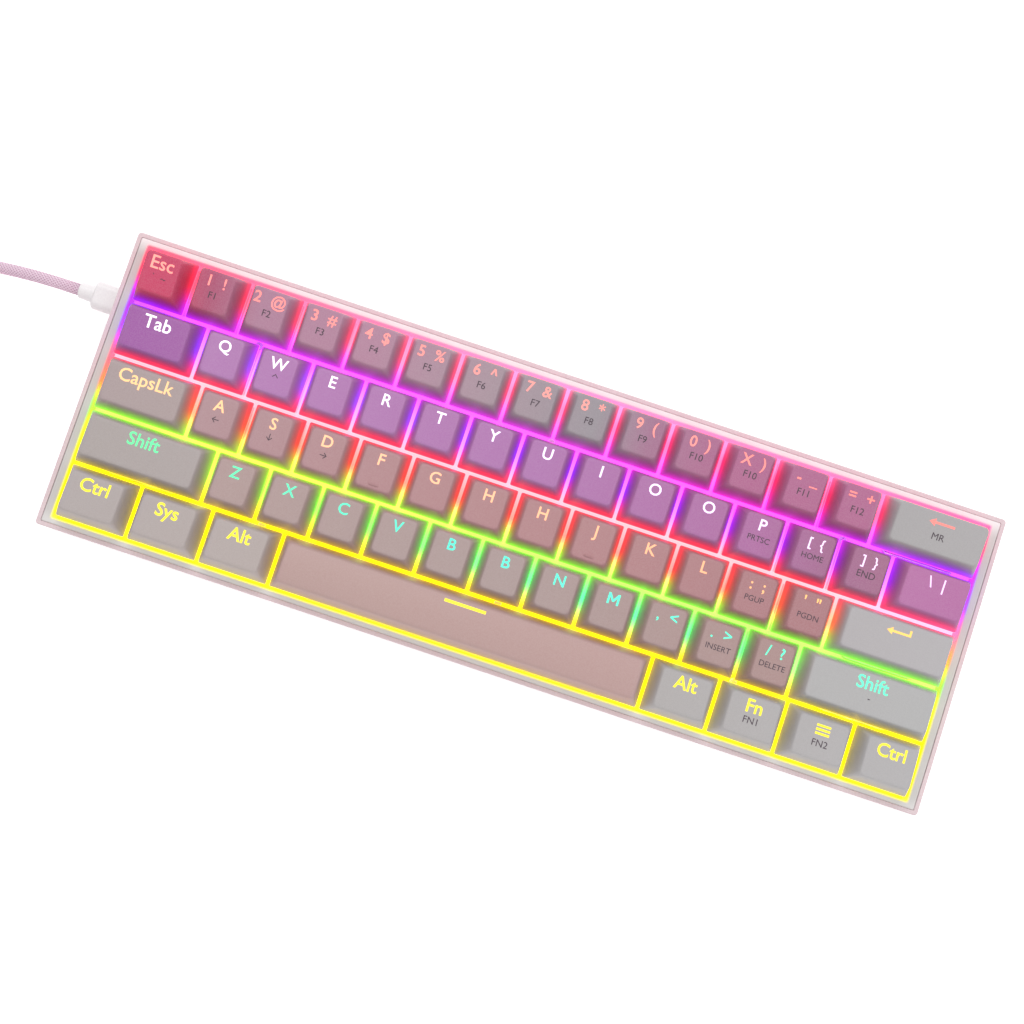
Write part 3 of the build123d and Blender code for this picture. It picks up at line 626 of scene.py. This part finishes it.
for row, listed in enumerate(layout):
    left = -field_width / 2
    for node, units, legend, small in listed:
        width = units * letter_pitch
        y = field_depth / 2 - (row + 0.5) * row_pitch
        keys.append((node, row, left + width / 2, y, width, legend, small))
        left += width
key_nodes = list(dict.fromkeys(key[0] for key in keys))


def keys_of(node):
    """Row, place, width, legend and small print of the keys that share a node."""
    return [key[1:] for key in keys if key[0] == node]


# %% [markdown]
# ## The caps
# A cap is a tapered box with a rounded rim and a shallow dish for the finger. CAD gives it plane faces and
# sharp edges; here it is a stack of rings, which is an easy way to get a soft edge and a smooth dish. All
# rings have the same number of points, so neighbours are simply joined, and the top closes with strips from
# front to rear.

# %% One ring of a cap
skirt, key_gap = 6.1, 0.95
cap_heights, cap_tilts = (11.2, 9.7, 9.0, 9.6, 9.9), (8, 5, 1, -4, -6)
side_inset, front_inset, rear_inset = 2.7, 2.4, 1.9
dish_depth, dish_lip, crown_radius = 0.55, 0.25, 30
base_corner, top_corner, rim_radius = 0.5, 1.6, 0.55
cap_wall, cap_roof, inner_corner = 1.3, 1.5, 0.4
along_x, along_y, round_corner = 12, 4, 5


def ring(width, depth, radius):
    """Points of a rounded rectangle, anticlockwise from the middle of its right side."""
    radius = max(min(radius, width / 2 - 0.01, depth / 2 - 0.01), 0.02)
    a, b = width / 2 - radius, depth / 2 - radius
    points = [(width / 2, b * k / (along_y / 2)) for k in range(along_y // 2)]
    for middle, start in (((a, b), 0), ((-a, b), 90)):
        if start:
            points += [(a - 2 * a * k / along_x, depth / 2) for k in range(1, along_x)]
        for k in range(round_corner + 1):
            turn = math.radians(start + 90 * k / round_corner)
            points.append((middle[0] + radius * math.cos(turn), middle[1] + radius * math.sin(turn)))
    points += [(-width / 2, b * k / (along_y / 2)) for k in range(along_y // 2 - 1, 0, -1)]
    points.append((-width / 2, 0))
    return points + [(x, -y) for x, y in points[-2:0:-1]]


print("points in a ring", len(ring(10, 8, 1)))


# %% The shape of a top
def cap_sizes(row, width):
    """Base width and depth, top width and depth, and a matrix that sets the top over the key's own place."""
    base = (width - key_gap, row_pitch - key_gap)
    top = (base[0] - 2 * side_inset, base[1] - front_inset - rear_inset)
    place = (Matrix.Translation((0, (front_inset - rear_inset) / 2, skirt + cap_heights[row]))
             @ Matrix.Rotation(math.radians(cap_tilts[row]), 4, "X"))
    return base, top, place


def top_height(node, top_width, x, y):
    """How high the finished top is over its plane: a dish across the key, or the space bar's crown."""
    if node == "space_bar":
        return math.sqrt(crown_radius ** 2 - y * y) - crown_radius
    half = top_width / 2 - dish_lip
    radius = (half ** 2 + dish_depth ** 2) / (2 * dish_depth)
    return radius - dish_depth - math.sqrt(radius ** 2 - min(abs(x), half) ** 2)


# %% [markdown]
# The wall runs straight from the skirt to the rim. The rim itself is a quarter round of about half a
# millimetre, made of four rings, and the rings of the top shrink towards its middle line.

# %% Outer skin of a cap
def wall_ring(base, top, place, share, node):
    """A ring of the wall, a share of the way from the skirt to the rim."""
    points = []
    for (x, y), (u, v) in zip(ring(*base, base_corner), ring(*top, top_corner)):
        rim = place @ Vector((u, v, top_height(node, top[0], u, v)))
        points.append(Vector((x, y, skirt)).lerp(rim, share))
    return points


def top_ring(top, place, inset, drop, node):
    """A ring of the top, moved inwards and down."""
    points = ring(top[0] - 2 * inset, top[1] - 2 * inset, top_corner - inset)
    return [place @ Vector((x, y, top_height(node, top[0], x, y) - drop)) for x, y in points]


def outer_rings(node, row, width):
    """The wall, the rounded rim and the top, from the skirt to the middle."""
    base, top, place = cap_sizes(row, width)
    shares = (0, 0.03, 0.1, 0.25, 0.45, 0.7, 1 - rim_radius / cap_heights[row])
    rings = [wall_ring(base, top, place, share, node) for share in shares]
    for a in (math.radians(angle) for angle in (30, 60, 90)):
        inset, drop = rim_radius * (1 - math.cos(a)), rim_radius * (1 - math.sin(a))
        rings.append(top_ring(top, place, inset, drop, node))
    for share in (0.2, 0.4, 0.6, 0.8, 0.97):
        rings.append(top_ring(top, place, min(top) / 2 * share, 0, node))
    return rings


def inner_rings(row, width):
    """The hollow, from the skirt up to the underside of the roof."""
    base, top, place = cap_sizes(row, width)
    low = ring(base[0] - 2 * cap_wall, base[1] - 2 * cap_wall, inner_corner)
    high = ring(top[0] - 2 * cap_wall, top[1] - 2 * cap_wall, inner_corner)
    return [[Vector((x, y, skirt)) for x, y in low], [place @ Vector((x, y, -cap_roof)) for x, y in high]]


# %% Join the rings into faces
def add_faces(bm, rings, inside, matrix):
    """Join rings into a closed skin. The last one is filled with strips between its mirrored points."""
    rows = [[bm.verts.new(matrix @ point) for point in points] for points in rings]
    count = len(rows[0])
    corners = []
    for low, high in zip(rows, rows[1:]):
        corners += [(low[k], low[(k + 1) % count], high[(k + 1) % count], high[k]) for k in range(count)]
    last = rows[-1]
    for k in range(count // 2):
        strip = [last[k], last[k + 1], last[-k - 1], last[-k % count]]
        corners.append(tuple(dict.fromkeys(strip)))
    for face in corners:
        bm.faces.new(face[::-1] if inside else face).smooth = True
    return rows[0]


def add_homing_bar(bm, matrix):
    """The raised bar that a finger feels for, on two keys of the middle row."""
    shape = Matrix.Translation((0, -5.0, -0.42)) @ Matrix.Diagonal((3.2, 0.6, 0.5, 1))
    cube = bmesh.ops.create_cube(bm, size=1, matrix=matrix @ shape)
    edges = dict.fromkeys(edge for vertex in cube["verts"] for edge in vertex.link_edges)
    bmesh.ops.bevel(bm, geom=list(edges), offset=0.18 * mm, segments=2, affect="EDGES")


def add_cap(bm, node, row, x, y, width):
    """A whole cap at its place on the deck."""
    matrix = deck @ Matrix.Translation((x, y, 0))
    outside = add_faces(bm, outer_rings(node, row, width), False, matrix)
    inside = add_faces(bm, inner_rings(row, width), True, matrix)
    for k in range(len(outside)):
        n = (k + 1) % len(outside)
        bm.faces.new((outside[k], inside[k], inside[n], outside[n]))


# %% [markdown]
# Under a cap are its posts, round tubes that grip the cross of a stem. The stems themselves and the
# stabilisers' sliders have the right shape in CAD, so they are copied from there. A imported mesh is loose
# triangles: the copy is merged first, and then its separate solids are told apart by their width.

# %% Posts and stems
post_inside, post_outside, post_rise, post_cover, post_sides = 2.1, 2.75, 0.8, 1.3, 20
widest_stem = 12


def add_post(bm, matrix, top):
    """A tube from just over the skirt up into the roof."""
    low = skirt + post_rise
    profile = ((post_inside, top), (post_inside, low), (post_outside, low), (post_outside, top))
    rows = [[bm.verts.new(matrix @ Vector((r * math.cos(a), r * math.sin(a), z)))
             for a in (math.tau * k / post_sides for k in range(post_sides))] for r, z in profile]
    for low_row, high_row in zip(rows, rows[1:] + rows[:1]):
        for k in range(post_sides):
            n = (k + 1) % post_sides
            bm.faces.new((low_row[k], low_row[n], high_row[n], high_row[k]))


def add_stems(bm, node):
    """Copy the stems and sliders of a node: its solids that are narrower than a cap."""
    source = bmesh.new()
    source.from_mesh(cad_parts[node].data)
    bmesh.ops.remove_doubles(source, verts=source.verts, dist=1e-6)
    unseen = dict.fromkeys(source.verts)
    while unseen:
        solid, edge = [], [unseen.popitem()[0]]
        while edge:
            vertex = edge.pop()
            solid.append(vertex)
            for near in (link.other_vert(vertex) for link in vertex.link_edges):
                if near in unseen:
                    del unseen[near]
                    edge.append(near)
        if max(v.co.x for v in solid) - min(v.co.x for v in solid) < widest_stem * mm:
            copies = {v: bm.verts.new(v.co) for v in solid}
            for face in dict.fromkeys(face for v in solid for face in v.link_faces):
                bm.faces.new([copies[v] for v in face.verts]).material_index = 1
    source.free()


# %% Build the caps of every body
short_reach, long_reach = 11.94, 50.0
stabilisers = {"backspace_key": short_reach, "enter_key": short_reach, "left_shift_key": short_reach,
               "right_shift_key": short_reach, "space_bar": long_reach}
cap_count = 0
for node in key_nodes:
    bm = bmesh.new()
    for row, x, y, width, legend, small in keys_of(node):
        add_cap(bm, node, row, x, y, width)
        if row == 2 and legend in ("F", "J"):
            add_homing_bar(bm, deck @ Matrix.Translation((x, y, 0)) @ cap_sizes(row, width)[2])
        reach = stabilisers.get(node, 0)
        post_top = skirt + cap_heights[row] - post_cover
        for offset in {0, reach, -reach}:
            add_post(bm, deck @ Matrix.Translation((x + offset, y, 0)), post_top)
        cap_count += 1
    add_stems(bm, node)
    caps = new_piece(node + "_caps", bm, cap_finish, switch_white)
    caps.data.set_sharp_from_angle(angle=math.radians(50))
    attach(caps, node)
    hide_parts(node)
print("caps", cap_count)

# %% [markdown]
# ## Legends
# A lit legend is a clear second shot of plastic that reaches the surface of the cap. It could be painted by
# a texture, but letters need sharp edges at any distance, so each one is text turned into a mesh. The text
# is made flat, its long edges are divided, and then every point is laid on the dish, a hair above the
# plastic.

# %% Finishes of the legends
legend_stops = (
    ((0.0, "FF9C8C"), (0.1, "FF8480"), (0.5, "F09088"), (1.0, "FF7870")),
    ((0.0, "FFFFFF"), (0.5, "F2E8FF"), (1.0, "F4CEFF")),
    ((0.0, "FFC884"), (0.3, "FFBC90"), (0.7, "FFB080"), (1.0, "FFD04A")),
    ((0.0, "5FF08C"), (0.4, "46E8C8"), (0.7, "50F0C8"), (1.0, "5CFFBE")),
    ((0.0, "FFF000"), (1.0, "FFEC00")),
)


def legend_light():
    """Clear resin lit from below in the colour of its row."""
    finish = Finish("legend_light", Roughness=0.5, Emission_Strength=1.35, Specular_IOR_Level=0.2)
    column, row, height = deck_place(finish)
    noise, bump = grain(finish, 0.6, 0.1)
    colour = finish.mix(noise * 0.12, by_row(finish, column, row, legend_stops), white)
    return finish.shade(Base_Color=finish.mix(0.85, colour, black), Emission_Color=colour, Normal=bump)


legend_finish = legend_light()
ink_finish = plain("legend_ink", "5C4E58", "4E424B", 0.6, 0.2, 0.1)


# %% Text as a flat mesh
def flat_text(words, size, stroke=0.0):
    """The outline of a few characters as triangles, in millimetres about their middle."""
    curve = bpy.data.curves.new("words", "FONT")
    curve.body, curve.size = words, size
    curve.align_x, curve.align_y = "CENTER", "CENTER"
    curve.resolution_u = 3
    curve.space_word = 2.2
    curve.offset = stroke
    holder = bpy.data.objects.new("words", curve)
    scene.collection.objects.link(holder)
    mesh = bpy.data.meshes.new_from_object(holder)
    bpy.data.objects.remove(holder)
    return mesh


def bar(width, depth, y=0.0):
    """A plain bar, for the mark on the space bar and the lines of the menu mark."""
    mesh = bpy.data.meshes.new("bar")
    across = 8
    points = [(width * (k / across - 0.5), y + way * depth / 2, 0)
              for way in (-1, 1) for k in range(across + 1)]
    mesh.from_pydata(points, [], [(k, k + 1, k + across + 2, k + across + 1) for k in range(across)])
    return mesh


# %% [markdown]
# The arrows and the menu mark aren't letters, so they are drawn: an arrow is a bar with a head, the return
# mark an arrow with a corner, and the menu mark three bars. The letter M is drawn too, because its font
# outline crosses itself when the strokes are made bolder.

# %% Marks
def polygon(points):
    """A flat mesh of one face."""
    mesh = bpy.data.meshes.new("mark")
    mesh.from_pydata([(x, y, 0) for x, y in points], [], [tuple(range(len(points)))])
    return mesh


def arrow(length, thick, head):
    """An arrow that points left."""
    half, tip = thick / 2, -length / 2
    return polygon([(tip, 0), (tip + head, -head * 0.62), (tip + head, -half), (length / 2, -half),
                    (length / 2, half), (tip + head, half), (tip + head, head * 0.62)])


def mark(legend, size, stroke):
    """The meshes that make one legend."""
    if legend == "←":
        return [arrow(8.4, 0.7, 2.0)]
    if legend == "↵":
        return [arrow(8.0, 0.7, 1.9), polygon([(3.3, 0.35), (4.0, 0.35), (4.0, 1.7), (3.3, 1.7)])]
    if legend == "▬":
        return [bar(13.6, 1.0)]
    if legend == "☰":
        return [bar(4.6, 0.7, y) for y in (-1.3, 0, 1.3)]
    if legend == "M":
        return [polygon([(-1.9, -1.8), (-1.2, -1.8), (-1.2, 0.6), (-0.3, -0.9), (0.3, -0.9), (1.2, 0.6),
                         (1.2, -1.8), (1.9, -1.8), (1.9, 1.8), (1.2, 1.8), (0, -0.1), (-1.2, 1.8),
                         (-1.9, 1.8)])]
    return [flat_text(legend, size, stroke)]


# %% Lay the legends on the caps
legend_lift, print_place = 0.04, (0, -1.3)


def add_legend(bm, meshes, node, row, x, y, width, move, slot):
    """Divide the flat meshes and lay them on the top of a cap."""
    base, top, place = cap_sizes(row, width)
    matrix = deck @ Matrix.Translation((x, y, 0)) @ place
    for mesh in meshes:
        flat = bmesh.new()
        flat.from_mesh(mesh)
        bmesh.ops.triangulate(flat, faces=flat.faces)
        for limit in (2.4, 1.2):
            long_edges = [edge for edge in flat.edges if edge.calc_length() > limit]
            bmesh.ops.subdivide_edges(flat, edges=long_edges, cuts=1)
        bmesh.ops.triangulate(flat, faces=flat.faces)
        for vertex in flat.verts:
            u, v = vertex.co.x + move[0], vertex.co.y + move[1]
            vertex.co = matrix @ Vector((u, v, top_height(node, top[0], u, v) + legend_lift))
        flat.normal_update()
        turned = [face for face in flat.faces if face.normal.dot(press_direction) > 0]
        bmesh.ops.reverse_faces(flat, faces=turned)
        for face in flat.faces:
            face.material_index = slot
        laid = bpy.data.meshes.new("laid")
        flat.to_mesh(laid)
        flat.free()
        bm.from_mesh(laid)


legend_count = 0
for node in key_nodes:
    bm = bmesh.new()
    for row, x, y, width, legend, small in keys_of(node):
        size = 5.3 if len(legend) == 1 else 6.0
        if " " in legend:
            size = 4.2 if legend[0] in "[]" else 5.0
        rear = 4.6 if legend == "▬" else 3.1
        add_legend(bm, mark(legend, size, 0.09 if row == 4 else 0.06), node, row, x, y, width, (0, rear), 0)
        if small:
            printed = flat_text(small, 3.1 if len(small) < 4 else 2.6)
            add_legend(bm, [printed], node, row, x, y, width, print_place, 1)
        legend_count += 1
    legends = new_piece(node + "_legends", bm, legend_finish, ink_finish)
    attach(legends, node)
print("legends", legend_count)

# %% [markdown]
# ## The springs
# Each switch holds a steel spring of eight turns that the stem presses. A spring follows a rule, and there
# are sixty-five of them, so Geometry Nodes make them: a spiral becomes a wire, and the wire is set on every
# point of the piece. The points are the switches of one body.

# %% The spring tree
floor_height, spring_length, pressed = -3.2, 8.2, 4.0
spring_radius, wire_radius, spring_turns = 1.8, 0.2, 8.0


def spring_tree(material):
    """A wire spiral on every point, lying along the deck's normal."""
    tree = bpy.data.node_groups.new("coil_springs", "GeometryNodeTree")
    tree.is_modifier = True
    tree.interface.new_socket("Geometry", in_out="INPUT", socket_type="NodeSocketGeometry")
    for name in ("Length", "Radius", "Wire", "Turns", "Lean"):
        tree.interface.new_socket(name, in_out="INPUT", socket_type="NodeSocketFloat")
    tree.interface.new_socket("Geometry", in_out="OUTPUT", socket_type="NodeSocketGeometry")

    def add(kind, **links):
        made = tree.nodes.new(kind)
        for key, value in links.items():
            socket = made.inputs[key.replace("_", " ")]
            if isinstance(value, bpy.types.NodeSocket):
                tree.links.new(value, socket)
            else:
                socket.default_value = value
        return made

    given = add("NodeGroupInput").outputs
    spiral = add("GeometryNodeCurveSpiral", Resolution=10, Rotations=given["Turns"],
                 Start_Radius=given["Radius"], End_Radius=given["Radius"], Height=given["Length"])
    section = add("GeometryNodeCurvePrimitiveCircle", Resolution=4, Radius=given["Wire"])
    wire = add("GeometryNodeCurveToMesh", Curve=spiral.outputs[0], Profile_Curve=section.outputs[0],
               Fill_Caps=True)
    lean = add("ShaderNodeCombineXYZ", X=given["Lean"])
    placed = add("GeometryNodeInstanceOnPoints", Points=given["Geometry"], Instance=wire.outputs[0],
                 Rotation=lean.outputs[0])
    whole = add("GeometryNodeRealizeInstances", Geometry=placed.outputs[0])
    painted = add("GeometryNodeSetMaterial", Geometry=whole.outputs[0], Material=material)
    add("NodeGroupOutput", Geometry=painted.outputs[0])
    return tree


springs_tree = spring_tree(steel)
print("spring tree has", len(springs_tree.nodes), "nodes")


# %% Springs of every body
def springs_for(node):
    """The springs under one body, as a plain mesh."""
    bm = bmesh.new()
    for row, x, y, width, legend, small in keys_of(node):
        bm.verts.new(on_deck(x, y, floor_height + wire_radius))
    points = new_piece("spring_points", bm)
    modifier = points.modifiers.new("springs", "NODES")
    modifier.node_group = springs_tree
    sizes = {"Length": (spring_length - 2 * wire_radius) * mm, "Radius": spring_radius * mm,
             "Wire": wire_radius * mm, "Turns": spring_turns, "Lean": typing_angle}
    for item in springs_tree.interface.items_tree:
        if item.name in sizes:
            modifier[item.identifier] = sizes[item.name]
    view = bpy.context.evaluated_depsgraph_get()
    mesh = bpy.data.meshes.new_from_object(points.evaluated_get(view))
    bpy.data.objects.remove(points)
    springs = bpy.data.objects.new(node + "_springs", mesh)
    scene.collection.objects.link(springs)
    return springs


spring_faces = 0
for node in key_nodes:
    springs = springs_for(node)
    spring_faces += len(springs.data.polygons)
    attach(springs, "case")
    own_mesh(springs)
    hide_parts("switch_springs")
print("spring faces", spring_faces)

# %% [markdown]
# The cable replaces its three plain CAD solids: 1.8 m of 4 mm cord that leaves the neck of its plug and ends
# in the other plug. Here it gets its braid and moves with the case.

# %% The cable's braid
cable.data.materials.append(braid())
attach(cable, "case")
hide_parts("cable_lead", "cable_coil", "cable_tail")

# %% [markdown]
# ## Floor and light
# A product picture wants an even white sheet and soft light without a hard shadow. Two large area lamps
# above and a bright surrounding give that. The floor glows a little, so that it stays white right up to the
# object.

# %% Stage
bm = bmesh.new()
bmesh.ops.create_grid(bm, x_segments=1, y_segments=1, size=3)
paper = Finish("paper", Roughness=0.9, Emission_Strength=0.4, Emission_Color=white)
paper_noise, paper_bump = grain(paper, 2.0, 0.05)
floor = new_piece("floor", bm, paper.shade(Base_Color=paper.mix(paper_noise * 0.02, paint("FAFAFA"), white),
                                           Normal=paper_bump))
world = bpy.data.worlds.new("surrounding")
world.use_nodes = True
world.node_tree.nodes["Background"].inputs[0].default_value = (1, 1, 1, 1)
world.node_tree.nodes["Background"].inputs[1].default_value = 0.54
scene.world = world


# %% Lamps
def soft_lamp(name, place, size, power):
    """A round area lamp that points at the keyboard."""
    data = bpy.data.lights.new(name, "AREA")
    data.shape, data.size, data.energy = "DISK", size, power
    lamp = bpy.data.objects.new(name, data)
    lamp.location = place
    lamp.rotation_euler = (-Vector(place)).to_track_quat("-Z", "Y").to_euler()
    scene.collection.objects.link(lamp)


soft_lamp("rear_light", (-0.3, 0.9, 1.4), 1.2, 10.5)
soft_lamp("front_light", (0.8, -0.6, 1.6), 1.2, 6)
print("lights made")
